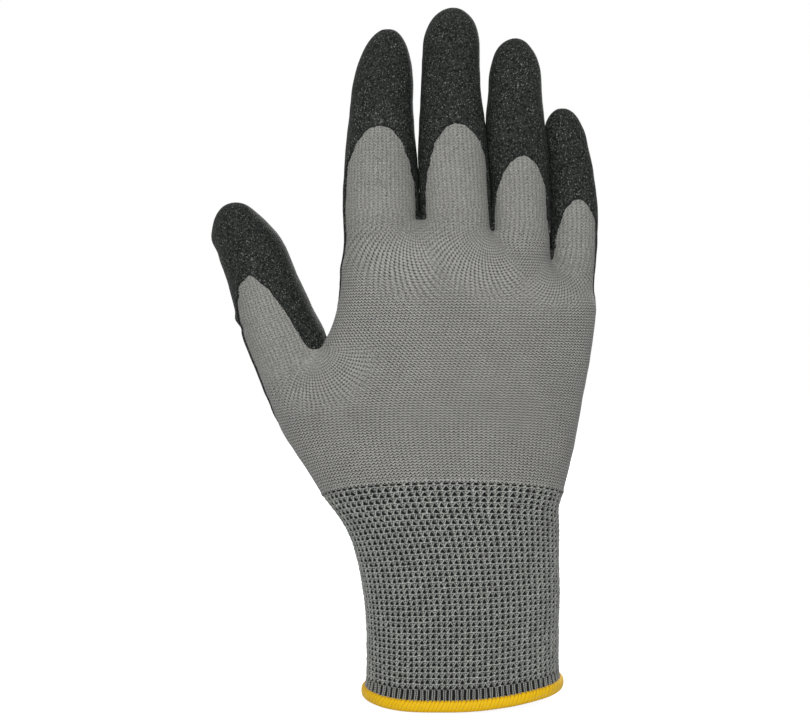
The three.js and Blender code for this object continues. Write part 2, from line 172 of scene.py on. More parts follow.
def fillet(a, b, radius):
    """The lesser of a and b, rounded where they differ by less than the radius."""
    radius = np.maximum(radius, 1e-3)
    h = np.clip(0.5 + 0.5 * (b - a) / radius, 0, 1)
    return b + (a - b) * h - radius * h * (1 - h)


def tube_gap(across, deep, rise, half_width, half_depth, dome, power=2.0, tip_power=2.0):
    """The gap to a tube with a rounded end: s = |across / half width|^p + |deep / half depth|^p +
    (rise / dome)^q is 1 on the skin, and the gap is s^(1/p) - 1 over its own slope."""
    u, v = np.abs(across) / half_width, np.abs(deep) / half_depth
    t = np.maximum(rise, 0) / dome
    s = u ** power + v ** power + t ** tip_power + 1e-9
    k = s ** (1 / power)
    slopes = (power * u ** (power - 1) / half_width) ** 2 + (power * v ** (power - 1) / half_depth) ** 2
    slopes = slopes + (tip_power * t ** (tip_power - 1) / dome) ** 2
    return (k - 1) / np.maximum(k / (power * s) * np.sqrt(slopes), 0.02)


def waves(x, y, z, length, seed, count=9):
    """Soft unevenness between about -1 and 1: a sum of sine waves of about one length, in random
    directions."""
    rng = np.random.default_rng(seed)
    total = 0.0
    for _ in range(count):
        direction = rng.normal(size=3)
        direction *= 2 * math.pi / (length * rng.uniform(0.7, 1.5) * np.linalg.norm(direction))
        phase = direction[0] * x + direction[1] * y + direction[2] * z
        total = total + np.sin(phase + rng.uniform(0, 2 * math.pi))
    return total / math.sqrt(count)


def finger_line(name, z):
    """Centre across, centre in depth, and half width of a coated finger at height z."""
    f = FINGERS[name]
    hinges = [JOINTS[f"{name}_{joint}"] for joint in ("knuckle", "middle_joint", "end_joint")]
    deep = [(h[2], h[1]) for h in hinges] + [(f["tip"], hinges[2][1] + 0.8)]
    return through(z, f["centre"]), through(z, deep), through(z, f["half"])


def closing(name, z, side):
    """How much wider the palm half of a finger is on one side, so that it touches the finger beside it."""
    i = FINGER_NAMES.index(name)
    if not 0 <= i + side < len(FINGER_NAMES):
        return 0.0
    first, second = FINGER_NAMES[min(i, i + side)], FINGER_NAMES[max(i, i + side)]
    a, _, a_half = finger_line(first, z)
    b, _, b_half = finger_line(second, z)
    top, cut = FINGERS[first]["gap_top"], min(FINGERS[first]["cut"], FINGERS[second]["cut"])
    overlap = FINGER_PRESS * (1 - ramp(z, cut + 2, cut + 7)) - FINGER_CLEARANCE
    return ((b - b_half) - (a + a_half) + overlap) / 2 * (1 - ramp(z, top - 7, top))


def finger_gap(name, x, y, z):
    """The gap to one knitted finger, a tube with elliptical sections and a rounded tip."""
    f = FINGERS[name]
    cx, cy, half = finger_line(name, z)
    palm_half = ramp(y - cy, -3, 3)
    side = np.where(x > cx, closing(name, z, 1), closing(name, z, -1)) * palm_half
    rise = np.maximum(z - f["foot"], (f["cut"] - FINGER_HEEL - z) * HEEL_STEEPNESS)
    return tube_gap(x - cx, y - cy, rise, half - COAT + side, (half - COAT) * FINGER_FLATNESS,
                    f["tip"] - f["foot"] - COAT, 2.0, f["tip_power"])


# The thumb's own directions: along it, across it as the back shows it, and both turned by its roll.
THUMB_BASE = JOINTS["thumb_knuckle"]
THUMB_ALONG = np.array([-math.sin(THUMB_TILT), 0, math.cos(THUMB_TILT)])
THUMB_SIDE = np.array([math.cos(THUMB_TILT), 0, math.sin(THUMB_TILT)])
THUMB_ACROSS = math.cos(THUMB_ROLL) * THUMB_SIDE - math.sin(THUMB_ROLL) * np.array([0, 1, 0])
THUMB_PALM = math.sin(THUMB_ROLL) * THUMB_SIDE + math.cos(THUMB_ROLL) * np.array([0, 1, 0])


def thumb_frame(x, y, z):
    """A point's place along the thumb, across it, toward its palm, and across it as the back shows it."""
    x, y, z = x - THUMB_BASE[0], y - THUMB_BASE[1], z - THUMB_BASE[2]
    along, across, palm, side = (x * v[0] + y * v[1] + z * v[2]
                                 for v in (THUMB_ALONG, THUMB_ACROSS, THUMB_PALM, THUMB_SIDE))
    return along, across, palm, side


def thumb_gap(x, y, z):
    """The gap to the knitted thumb, with the creases that cross its outer edge."""
    along, across, palm, _ = thumb_frame(x, y, z)
    half = through(along, THUMB_HALF) - COAT
    shift = through(along, THUMB_SHIFT)
    across, palm = across - shift * math.cos(THUMB_ROLL), palm - shift * math.sin(THUMB_ROLL)
    rise = np.maximum(along - THUMB_FOOT, (THUMB_HEEL - along) * HEEL_STEEPNESS)
    gap = tube_gap(across, palm, rise, half, half * THUMB_FLATNESS, THUMB_TIP - THUMB_FOOT - COAT)
    outer = ramp(-across, 2, 9)
    for place, width, height in THUMB_CREASES:
        gap = gap - height * outer * np.exp(-((along - place - CREASE_SLANT * palm) / width) ** 2)
    return gap


def hand_width(z):
    """Centre and half width of the hand and the cuff at a height."""
    left, right = through(z, HAND_LEFT), through(z, HAND_RIGHT)
    return (left + right) / 2, (right - left) / 2


def hand_gap(x, y, z):
    """The gap to the hand alone, a flattened tube that ends in the line of the webs."""
    middle, half = hand_width(z)
    depth = np.where(y < 0, through(z, BACK_DEPTH), through(z, PALM_DEPTH))
    rise = z - through(x, WEB_LINE) + WEB_DOME
    return tube_gap(x - middle, y, rise, half, depth, WEB_DOME, HAND_POWER, 2.0)


BROAD_FOLDS, FINE_FOLDS = (0.22, 26), (0.06, 8)    # height and length of the waves in worn fabric


def unevenness(x, y, z):
    """How far worn fabric stands off a perfect shape."""
    (broad, broad_length), (fine, fine_length) = BROAD_FOLDS, FINE_FOLDS
    return broad * waves(x, y, z, broad_length, 3, 7) + fine * waves(x, y, z, fine_length, 4, 7)


def knit_gap(x, y, z):
    """The gap to the whole knitted skin: hand, thumb and fingers, joined by fillets that end at the cuts."""
    along = thumb_frame(x, y, z)[0]
    radius = THUMB_FILLET * (1 - ramp(along, -14, THUMB_CUT - 1)) + 0.4 * (along < THUMB_CUT - 1)
    gap = fillet(hand_gap(x, y, z), thumb_gap(x, y, z), radius)
    for name in FINGER_NAMES:
        cut = FINGERS[name]["cut"]
        gap = fillet(gap, finger_gap(name, x, y, z), WEB_FILLET * (1 - ramp(z, cut - 9, cut - 0.5)))
    return gap - unevenness(x, y, z)


# ---- where the coating lies ----

SIDE_LINE = [(86, 5), (110, 4), (135, 2.2), (150, -0.8), (165, -2.8), (172, -3), (240, -3)]   # height, depth
SIDE_OFFSETS = [(-16, 0), (-12, -1), (8.5, -1), (12.5, 0.5), (28.5, 0.5), (32.5, 3.5)]        # across, deeper


def side_line(x, z):
    """How deep the edge of the coating runs along the sides of the hand and the fingers."""
    return np.interp(x, *zip(*SIDE_OFFSETS)) * ramp(z, 125, 150) + through(z, SIDE_LINE)


def above_hem(x, z):
    """How far above the coating's lower edge on the palm a point is."""
    return z - COAT_HEM - 1.2 * np.sin(x / 9.0) - 0.04 * np.abs(x)


def thumb_coated(x, y, z):
    """How far inside the thumb's coating a point is: outside the bare tongue on its back, in the lobe at its
    web, or past the coating's edge toward the palm."""
    along, across, palm, side = thumb_frame(x, y, z)
    outside = np.maximum(side - through(along, THUMB_TONGUE_RIGHT), through(along, THUMB_TONGUE_LEFT) - side)
    lobe = THUMB_LOBE[2] - np.hypot(side - THUMB_LOBE[0], along - THUMB_LOBE[1])
    on_thumb = np.maximum(np.minimum(outside, along - THUMB_LOBE[1]), lobe)
    web_side, outer_side = through(along, THUMB_WEB_SIDE), through(along, THUMB_OUTER_SIDE)
    palm_side = palm - outer_side - (web_side - outer_side) * ramp(across, -5, 3)
    inside = np.maximum(np.where(palm < 8, on_thumb, -9), fillet(palm_side, above_hem(x, z), COAT_FILLET))
    return np.minimum(inside, 14.4 + 0.35 * (along - 9) - side)


def ragged(x, y, z):
    """The small unevenness of the coating's edge."""
    return 0.16 * waves(x, y, z, 3.2, 11, 6) + 0.12 * waves(x, y, z, 9, 12, 5)


def finger_coated(name, x, y, z):
    """How far inside a finger's coating a point is: beyond the arch on the back, or past the side line."""
    centre, top, height, half = FINGERS[name]["arch"]
    lean = through(z, FINGERS[name]["centre"]) - through(top - height, FINGERS[name]["centre"])
    across = (x - centre - lean * 0.6) / half
    up = np.maximum(z - (top - height), 0) / height
    s = across ** 2 + up ** 2.2
    slope = np.hypot(2 * across / half, 2.2 * up ** 1.2 / height)
    arch = (s - 1) / np.maximum(slope, 0.03)
    return np.maximum(arch, y - side_line(centre, z)) + ragged(x, y, z)


def hand_coated(x, y, z):
    """How far inside the coating a point of the hand is."""
    palm = fillet(y - side_line(x, z), above_hem(x, z), COAT_FILLET)
    near_thumb = ramp(-x, 38, 45)
    return np.maximum(palm, np.where(near_thumb > 0, thumb_coated(x, y, z), -9.0)) + ragged(x, y, z)


def lift(inside):
    """How far the coating's surface stands off the knit, by how far inside its edge it is."""
    return -DIP + (COAT + DIP) * ramp(inside, -0.4, COAT_EDGE - 0.4)


# ---- meshing ----

def slope_of(gap, points, step=0.08):
    """The gradient of a field at points, by central differences."""
    found = np.empty_like(points)
    for axis in range(3):
        ahead, behind = points.copy(), points.copy()
        ahead[:, axis] += step
        behind[:, axis] -= step
        found[:, axis] = (gap(*ahead.T) - gap(*behind.T)) / (2 * step)
    return found


def settle(gap, points, rounds=2):
    """Moves points onto the zero level of a field, along its gradient."""
    for _ in range(rounds):
        slope = slope_of(gap, points)
        points = points - slope * (gap(*points.T) / np.maximum((slope ** 2).sum(1), 0.05))[:, None]
    return points


def surface_net(gap, low, high, cell):
    """Points and quads of a field's zero level on a lattice: one point in each cell that the level crosses,
    at the mean of the crossings of its edges, and one quad round each lattice edge that it crosses."""
    axes = [np.arange(a, b + cell, cell) for a, b in zip(low, high)]
    values = gap(axes[0][:, None, None], axes[1][None, :, None], axes[2][None, None, :])
    inside = values < 0
    shape = np.array(inside.shape) - 1
    count = sum(inside[i:i + shape[0], j:j + shape[1], k:k + shape[2]].astype(np.int8)
                for i, j, k in product((0, 1), repeat=3))
    active = (count > 0) & (count < 8)
    index = np.full(active.shape, -1)
    index[active] = np.arange(active.sum())
    cells = np.argwhere(active)
    total, hits = np.zeros(cells.shape), np.zeros(len(cells))
    for axis in range(3):
        others = [a for a in range(3) if a != axis]
        for shift in product((0, 1), repeat=2):
            start = cells.copy()
            start[:, others] += shift
            end = start.copy()
            end[:, axis] += 1
            a, b = values[tuple(start.T)], values[tuple(end.T)]
            crossed = (a < 0) != (b < 0)
            spot = start.astype(float)
            spot[:, axis] += a / np.where(crossed, a - b, 1)
            total[crossed] += spot[crossed]
            hits[crossed] += 1
    points = np.array([a[0] for a in axes]) + cell * total / hits[:, None]
    quads = []
    for axis in range(3):
        one, two = (axis + 1) % 3, (axis + 2) % 3
        before, after = [slice(1, -1)] * 3, [slice(1, -1)] * 3
        before[axis], after[axis] = slice(0, -1), slice(1, None)
        crossed = inside[tuple(before)] != inside[tuple(after)]
        edges = np.argwhere(crossed)
        inner = inside[tuple(before)][crossed]
        corner = edges.copy()
        corner[:, [one, two]] += 1
        ring = []
        for a, b in ((-1, -1), (0, -1), (0, 0), (-1, 0)):
            spot = corner.copy()
            spot[:, one] += a
            spot[:, two] += b
            ring.append(index[tuple(spot.T)])
        ring = np.array(ring).T
        quads.append(np.where(inner[:, None], ring, ring[:, ::-1]))
    return settle(gap, points), np.concatenate(quads)


def trim(points, quads, cuts):
    """Cuts a mesh along planes. Each cut is a point, the direction that is taken away, and a function that
    says which face centres it holds for. Returns points and faces."""
    bm = bmesh.new()
    corners = [bm.verts.new(p) for p in points]
    for quad in quads:
        bm.faces.new([corners[i] for i in quad])
    for at, away, held in cuts:
        at, away = np.array(at, float), np.array(away, float)
        faces = list(bm.faces)
        centres = np.array([f.calc_center_median() for f in faces])
        ahead = (centres - at) @ away
        mine = held(centres)
        near = [faces[i] for i in np.flatnonzero(mine & (np.abs(ahead) < 3))]
        geometry = near + list({e for f in near for e in f.edges}) + list({v for f in near for v in f.verts})
        bmesh.ops.bisect_plane(bm, geom=geometry, dist=0.02, plane_co=at, plane_no=away)
        faces = list(bm.faces)
        centres = np.array([f.calc_center_median() for f in faces])
        gone = held(centres) & ((centres - at) @ away > 0)
        bmesh.ops.delete(bm, geom=[faces[i] for i in np.flatnonzero(gone)], context="FACES")
    bm.verts.index_update()
    kept = np.array([v.co for v in bm.verts])
    faces = [[v.index for v in f.verts] for f in bm.faces]
    bm.free()
    return kept, faces


def face_corners(faces):
    """The point at each corner of all faces in a row, the size of each face, and where each face starts."""
    sizes = np.array([len(f) for f in faces])
    return np.concatenate([np.array(f) for f in faces]), sizes, np.concatenate([[0], np.cumsum(sizes)[:-1]])


def only(points, faces, wanted):
    """The faces for which wanted is true, and the points that they use."""
    faces = [f for f, w in zip(faces, wanted) if w]
    used = np.unique(face_corners(faces)[0])
    new = np.full(len(points), -1)
    new[used] = np.arange(len(used))
    return points[used], [new[np.array(f)].tolist() for f in faces]


def face_means(faces, values):
    """The mean over each face of a value given at its points."""
    order, sizes, starts = face_corners(faces)
    return np.add.reduceat(values[order], starts) / sizes


def grid_faces(rows, columns):
    """Quads of a grid that closes on itself along each row."""
    i, j = np.meshgrid(np.arange(rows - 1), np.arange(columns), indexing="ij")
    after = (j + 1) % columns
    return np.stack([i * columns + j, (i + 1) * columns + j, (i + 1) * columns + after, i * columns + after],
                    -1).reshape(-1, 4)


def grid_map(rows, columns, u, v):
    """Map coordinates for each corner of grid_faces: u runs on to its full turn at the last column."""
    i, j = np.meshgrid(np.arange(rows - 1), np.arange(columns), indexing="ij")
    us = np.stack([u[i, j], u[i + 1, j], u[i + 1, j + 1], u[i, j + 1]], -1)
    vs = np.stack([v[i, j], v[i + 1, j], v[i + 1, j + 1], v[i, j + 1]], -1)
    return np.stack([us, vs], -1).reshape(-1, 2)


def rays(gap, centres, directions, reach, rounds=22):
    """The points where rays from centres leave a field's inside, by halving."""
    low, high = np.zeros(len(centres)), np.full(len(centres), float(reach))
    for _ in range(rounds):
        middle = (low + high) / 2
        out = gap(*(centres + middle[:, None] * directions).T) > 0
        low, high = np.where(out, low, middle), np.where(out, middle, high)
    return centres + ((low + high) / 2)[:, None] * directions


def add_piece(name, points, faces, material, normals=None, maps=None, values=None):
    """A mesh object, smooth, with its maps (a pair for each corner) and values (one for each point)."""
    mesh = bpy.data.meshes.new(name)
    mesh.from_pydata(np.asarray(points) * MM, [], faces if isinstance(faces, list) else faces.tolist())
    mesh.polygons.foreach_set("use_smooth", np.ones(len(mesh.polygons), bool))
    for label, pairs in (maps or {}).items():
        mesh.uv_layers.new(name=label).data.foreach_set("uv", np.asarray(pairs, np.float32).ravel())
    for label, value in (values or {}).items():
        mesh.attributes.new(label, "FLOAT", "POINT").data.foreach_set("value", np.asarray(value, np.float32))
    if normals is not None:
        mesh.normals_split_custom_set_from_vertices(normals.tolist())
    mesh.materials.append(material)
    piece = bpy.data.objects.new(name, mesh)
    bpy.context.scene.collection.objects.link(piece)
    return piece


def add_cloth(name, points, faces, normals, maps, values):
    """A piece of knit with its wall: the outer face, the same face moved inward by the wall's thickness and
    turned over, and quads that join the two along every open edge."""
    points = np.asarray(points)
    order, sizes, starts = face_corners(faces)
    following = np.arange(len(order)) + 1
    following[starts + sizes - 1] = starts
    after = order[following]
    count = len(points)
    edges = np.minimum(order, after) * count + np.maximum(order, after)
    _, which, uses = np.unique(edges, return_inverse=True, return_counts=True)
    open_corners = np.flatnonzero(uses[which] == 1)
    other = following[open_corners]
    a, b = order[open_corners], order[other]
    rim = np.stack([b, a, a + count, b + count], -1).tolist()
    inner = [[i + count for i in reversed(f)] for f in faces]
    turned = np.repeat(starts + starts + sizes - 1, sizes) - np.arange(len(order))
    corners = np.concatenate([np.arange(len(order)), turned,
                              np.stack([other, open_corners, open_corners, other], -1).ravel()])
    normals = normals / np.linalg.norm(normals, axis=1)[:, None]
    all_faces = [list(f) for f in faces] + inner + rim
    both = np.concatenate([points, points - normals * KNIT_WALL])
    return add_piece(name, both, all_faces, LINER, np.concatenate([normals, -normals]),
                     {k: np.asarray(m)[corners] for k, m in maps.items()},
                     {k: np.concatenate([v, v]) for k, v in values.items()})


# ---- node helpers ----

class Nodes:
    """Short ways to make and join the nodes of one tree."""

    def __init__(self, tree):
        self.tree = tree

    def add(self, kind, settings=None, inputs=None):
        """A new node with its settings and its inputs, each a value or another node's socket."""
        node = self.tree.nodes.new(kind)
        for key, value in (settings or {}).items():
            setattr(node, key, value)
        for key, value in (inputs or {}).items():
            self.put(node.inputs[key], value)
        return node

    def put(self, socket, value):
        if isinstance(value, bpy.types.NodeSocket):
            self.tree.links.new(value, socket)
        else:
            socket.default_value = value

    def math(self, operation, a, b=0.0, c=0.0, clamp=False):
        node = self.add("ShaderNodeMath", {"operation": operation, "use_clamp": clamp})
        for socket, value in zip(node.inputs, (a, b, c)):
            self.put(socket, value)
        return node.outputs[0]

    def blend(self, share, a, b):
        """Colour a at share 0 and b at 1."""
        node = self.add("ShaderNodeMix", {"data_type": "RGBA"})
        for number, value in ((0, share), (6, a), (7, b)):
            self.put(node.inputs[number], value)
        return node.outputs[2]

    def between(self, share, a, b):
        """Number a at share 0 and b at 1."""
        node = self.add("ShaderNodeMix", {"data_type": "FLOAT"})
        for socket, value in zip(node.inputs[:4], (share, None, a, b)):
            if value is not None:
                self.put(socket, value)
        return node.outputs[0]

    def step(self, value, low, high, to_low=0.0, to_high=1.0):
        """A smooth step from to_low to to_high as the value goes from low to high."""
        node = self.add("ShaderNodeMapRange", {"interpolation_type": "SMOOTHSTEP"})
        for key, item in (("Value", value), ("From Min", low), ("From Max", high), ("To Min", to_low),
                          ("To Max", to_high)):
            self.put(node.inputs[key], item)
        return node.outputs[0]

    def noise(self, vector, scale, detail=2.0, roughness=0.5):
        return self.add("ShaderNodeTexNoise", {}, {"Vector": vector, "Scale": scale, "Detail": detail,
                                                   "Roughness": roughness}).outputs["Fac"]

    def place(self):
        """Where a point is on the piece, in metres."""
        return self.add("ShaderNodeTexCoord").outputs["Object"]

    def value(self, name):
        """A value kept at the points of the mesh."""
        return self.add("ShaderNodeAttribute", {"attribute_name": name}).outputs["Fac"]

    def bump(self, height, strength, distance):
        return self.add("ShaderNodeBump", {}, {"Strength": strength, "Distance": distance,
                                               "Height": height}).outputs[0]


def colour(red, green, blue):
    """A colour given as it looks on screen, 0 to 255, in linear light."""
    shares = np.array([red, green, blue]) / 255
    linear = np.where(shares <= 0.04045, shares / 12.92, ((shares + 0.055) / 1.055) ** 2.4)
    return (*linear.tolist(), 1.0)


def new_group(name, inputs, outputs):
    """An empty node group with named sockets, each a name and a socket type."""
    group = bpy.data.node_groups.new(name, "ShaderNodeTree")
    for label, kind in inputs:
        group.interface.new_socket(label, in_out="INPUT", socket_type="NodeSocket" + kind)
    for label, kind in outputs:
        group.interface.new_socket(label, in_out="OUTPUT", socket_type="NodeSocket" + kind)
    n = Nodes(group)
    return group, n, n.add("NodeGroupInput").outputs, n.add("NodeGroupOutput").inputs


def fresh_nodes(owner):
    """The emptied node tree of a material or a world."""
    owner.use_nodes = True
    owner.node_tree.nodes.clear()
    return Nodes(owner.node_tree)


def new_material(name, roughness, sheen, specular=0.25):
    """A material with one Principled shader, returned with its nodes and the shader's inputs."""
    material = bpy.data.materials.new(name)
    n = fresh_nodes(material)
    shader = n.add("ShaderNodeBsdfPrincipled")
    n.add("ShaderNodeOutputMaterial", {}, {"Surface": shader.outputs[0]})
    shader.inputs["Roughness"].default_value = roughness
    shader.inputs["Sheen Weight"].default_value = sheen
    shader.inputs["Sheen Roughness"].default_value = 0.5
    shader.inputs["Specular IOR Level"].default_value = specular
    return material, n, shader.inputs


def yarn_group():
    """Fibre unevenness in yarn: a tone around 1 and a fine height, from a place in metres."""
    group, n, given, out = new_group("yarn_fibres", [("Place", "Vector"), ("Strength", "Float")],
                                     [("Tone", "Float"), ("Height", "Float")])
    broad = n.noise(given["Place"], 90, 3)
    fine = n.noise(given["Place"], 2600, 3, 0.6)
    mixed = n.math("ADD", n.math("MULTIPLY", broad, 0.12), n.math("MULTIPLY", fine, 0.95))
    n.put(out["Tone"], n.math("MULTIPLY_ADD", n.math("SUBTRACT", mixed, 0.535), given["Strength"], 1.0))
    n.put(out["Height"], fine)
    return group


def stitch_group():
    """Plain knit from a map counted in stitches, a little uneven from stitch to stitch. Rows are chevrons
    with dark between them as Lines says, Rays darken the lines between stitches, and Holes the corners where
    four stitches meet. Shade and Height run from 0 in the gaps to 1 on the yarn."""
    group, n, given, out = new_group(
        "knit_stitches", [("Map", "Vector"), ("Place", "Vector"), ("Slant", "Float"), ("Lines", "Float"),
                          ("Rays", "Float"), ("Holes", "Float")], [("Shade", "Float"), ("Height", "Float")])
    parts = n.add("ShaderNodeSeparateXYZ", {}, {0: given["Map"]}).outputs
    drift = [n.math("MULTIPLY_ADD", n.noise(given["Place"], scale), 0.5, -0.25) for scale in (520, 610)]
    across, up = (n.math("ADD", part, shift) for part, shift in zip(parts, drift))
    zigzag = n.math("MULTIPLY", n.math("PINGPONG", across, 0.5), 2.0)
    row = n.math("MULTIPLY_ADD", zigzag, given["Slant"], up)
    strand = n.math("ABSOLUTE", n.math("SINE", n.math("MULTIPLY", row, math.pi)))
    stitch = n.math("ABSOLUTE", n.math("SINE", n.math("MULTIPLY", across, math.pi)))
    hole = n.math("MULTIPLY", n.step(strand, 0.0, 0.8, 1.0, 0.0), n.step(stitch, 0.0, 0.8, 1.0, 0.0))
    shade = n.math("SUBTRACT", 1.0, n.math("MULTIPLY", n.math("SUBTRACT", 1.0, strand), given["Lines"]))
    shade = n.math("SUBTRACT", shade, n.math("MULTIPLY", n.math("SUBTRACT", 1.0, stitch), given["Rays"]))
    shade = n.math("SUBTRACT", shade, n.math("MULTIPLY", hole, given["Holes"]), clamp=True)
    n.put(out["Shade"], shade)
    crown = n.math("MULTIPLY", n.math("POWER", strand, 0.7), 0.65)
    n.put(out["Height"], n.math("MULTIPLY_ADD", stitch, 0.35, crown))
    return group


def use_group(n, group, inputs):
    """The outputs of a node group in a tree, with its inputs given by name."""
    return n.add("ShaderNodeGroup", {"node_tree": group}, inputs).outputs


YARN = yarn_group()
STITCHES = stitch_group()


# How each stitch map of the liner looks: slant of its chevrons, and how dark its lines, rays and holes are.
# The plain map has a pair of values: on the hand, and where the knit has closed up.
PLAIN_LOOKS = {"Slant": (0.62, 0.62), "Lines": (1.0, 0.25), "Rays": (0.2, 0.24), "Holes": (0.9, 0.25)}
FAN_LOOKS = {"Slant": 0.3, "Lines": 0.5, "Rays": 0.48, "Holes": 0.9}
THUMB_LOOKS = {"Slant": 0.4, "Lines": 0.25, "Rays": 0.24, "Holes": 0.25}
FINE_LEVEL = 0.74      # how bright closed-up knit is beside open knit, since less dark shows in it


def liner_material():
    """Matt grey nylon in plain knit, whose stitches fan out from the webs and close up on the fingers."""
    material, n, shader = new_material("grey_plain_knit", 0.82, 0.15)
    place, fine = n.place(), n.value("fine_share")
    yarn = use_group(n, YARN, {"Place": place, "Strength": n.between(fine, 2.3, 3.0)})
    plain = {label: n.between(fine, *pair) for label, pair in PLAIN_LOOKS.items()}
    layers = {}
    for label, looks in {"knit": plain, "fan_a": FAN_LOOKS, "fan_b": FAN_LOOKS, "thumb": THUMB_LOOKS}.items():
        spot = n.add("ShaderNodeUVMap", {"uv_map": label}).outputs[0]
        layers[label] = use_group(n, STITCHES, {"Map": spot, "Place": place, **looks})
    shade, height = layers["knit"]["Shade"], layers["knit"]["Height"]
    on_open = n.math("SUBTRACT", 1.0, n.math("MULTIPLY", fine, 0.85))
    for label in ("fan_a", "fan_b", "thumb"):
        share = n.value(label + "_share")
        if label != "thumb":
            share = n.math("MULTIPLY", share, on_open)
        shade = n.between(share, shade, layers[label]["Shade"])
        height = n.between(share, height, layers[label]["Height"])
    level = n.math("MULTIPLY", yarn["Tone"], n.between(fine, 1.0, FINE_LEVEL))
    tone = n.math("MULTIPLY", shade, level, clamp=True)
    n.put(shader["Base Color"], n.blend(tone, colour(10, 11, 10), colour(178, 178, 173)))
    n.put(shader["Normal"], n.bump(n.math("MULTIPLY_ADD", yarn["Height"], 0.4, height), 0.6, 0.0003))
    return material


def coating_material():
    """Charcoal foam: matt and sandy, with pale specks painted on the highest grains as glints of light."""
    material, n, shader = new_material("charcoal_foam", 0.75, 0.0, 0.15)
    place = n.place()
    grain, second, glint_patches = n.noise(place, 1250, 2, 0.55), n.noise(place, 2100, 2, 0.6), n.noise(place, 60)
    # painted highlight: pale specks where light would glint on the highest grains, denser in broad patches
    grain_glint = n.step(n.math("MULTIPLY_ADD", glint_patches, 0.06, second), 0.62, 0.73)
    base = n.blend(n.step(grain, 0.35, 0.65), colour(4, 6, 6), colour(47, 51, 48))
    n.put(shader["Base Color"], n.blend(n.math("MULTIPLY", grain_glint, 0.75), base, colour(150, 154, 146)))
    n.put(shader["Normal"], n.bump(n.math("MULTIPLY_ADD", second, 0.6, grain), 0.8, 0.0003))
    return material


def relief_material(name, roughness, fibres, full, between, yarn_colour, strength):
    """Yarn whose modelled relief, from 0 to 1 at each point, tells the yarn from the darker between: on the
    rib that is its black elastic, on the overlock thread it is painted shade between the wraps.
    """
    material, n, shader = new_material(name, roughness, 0.1)
    yarn = use_group(n, YARN, {"Place": n.place(), "Strength": fibres})
    tone = n.math("MULTIPLY", n.step(n.value("relief"), *full), yarn["Tone"], clamp=True)
    n.put(shader["Base Color"], n.blend(tone, colour(*between), colour(*yarn_colour)))
    n.put(shader["Normal"], n.bump(yarn["Height"], strength, 0.0002))
    return material


LINER, FOAM = liner_material(), coating_material()
RIB = relief_material("grey_over_black_rib", 0.8, 1.1, (0.22, 1.0), (5, 6, 8), (200, 202, 196), 0.4)
# the thread's darker colour is painted shade in the grooves between its wraps
THREAD = relief_material("yellow_overlock_thread", 0.65, 0.4, (0.0, 0.75), (196, 122, 0), (255, 206, 6), 0.35)


# ---- maps: where each stitch lies ----

# Centres of the fans of stitches, at the webs between the fingers and at the thumb's web: x, z, the middle
# direction of the fan in degrees, how far it reaches, and how many degrees its rays turn in each millimetre.
FANS = {"fan_a": [(-13.7, 164.5, -142, 36, 1.3), (30.5, 150, -62, 22, -1.6)],
        "fan_b": [(10.4, 159.5, -128, 30, 1.2), (-49.5, 119.5, -70, 26, 0.6)]}
FAN_SPREAD = 75        # degrees to each side of a fan's middle
FAN_RAYS = 76          # stitches in a full turn round a web
FINGER_WALES = {"little": 14, "ring": 19, "middle": 22, "index": 25}   # on the back half of each finger
FINGER_STARTS = {"little": 40, "ring": 54, "middle": 73, "index": 95}  # its first stitch's number on the hand
BETWEEN_FINGERS = [-13.7, 10.5, 30.3]
THUMB_WALES = 56       # stitches once round the thumb
SECTION_SHAPE = 2.1    # width of a section over its depth, where stitches are counted off round it
RIB_HEIGHT = 70.2      # of the line where the rib meets the hand, at the palm


def rounded(share):
    """A cosine or sine brought to the hand's squarer section."""
    return np.sign(share) * np.abs(share) ** (2 / HAND_POWER)


# Turns run from the palm past the little-finger side, the back and the thumb side; girth is the share of the
# way round a section.
TURN = np.linspace(0, 2 * math.pi, 1441)
TURN_LENGTHS = np.hypot(np.diff(SECTION_SHAPE * rounded(np.sin(TURN))), np.diff(rounded(np.cos(TURN))))
GIRTH = np.concatenate([[0], np.cumsum(TURN_LENGTHS)]) / TURN_LENGTHS.sum()


def hand_turn(x, y, z):
    """The turn at which a point lies round the hand."""
    middle, half = hand_width(z)
    u, v = (x - middle) / half, y / through(z, BACK_DEPTH)
    power = HAND_POWER / 2
    turn = np.arctan2(np.sign(u) * np.abs(u) ** power, np.sign(v) * np.abs(v) ** power)
    return np.mod(turn, 2 * math.pi)


def rib_top(turn):
    """Height of the line where the rib meets the hand: arched on the back."""
    return RIB_HEIGHT - 0.8 * np.maximum(-np.sin(turn), 0) + 5.7 * np.maximum(-np.cos(turn), 0) ** 1.15


def course(x, z, turn):
    """Number of a stitch's row, counted upwards, following the rib's arch low on the hand."""
    return (z - (rib_top(turn) - RIB_HEIGHT) * (1 - ramp(z, 74, 135))) / COURSE


def hand_map(x, y, z):
    """Stitch and row numbers on the hand. High on the back the stitches gather toward each finger's own."""
    turn = hand_turn(x, y, z)
    own, reach = np.zeros_like(x), np.zeros_like(x)
    zones = np.searchsorted(BETWEEN_FINGERS, x)
    for i, name in enumerate(FINGER_NAMES):
        cx, cy, half = finger_line(name, z)
        angle = np.arccos(np.clip((x - cx) / (half * 1.04), -1, 1))
        angle = np.where(y > cy, 2 * math.pi - angle, angle)
        mine = zones == i
        own = np.where(mine, FINGER_STARTS[name] + FINGER_WALES[name] * angle / math.pi, own)
        reach = np.where(mine, ramp(z, FINGERS[name]["cut"] - 26, FINGERS[name]["cut"] - 1), reach)
    wale = HAND_WALES * np.interp(turn, TURN, GIRTH)
    reach = np.where(y < 0, reach, 0)
    return wale + (own - wale) * reach, course(x, z, turn)


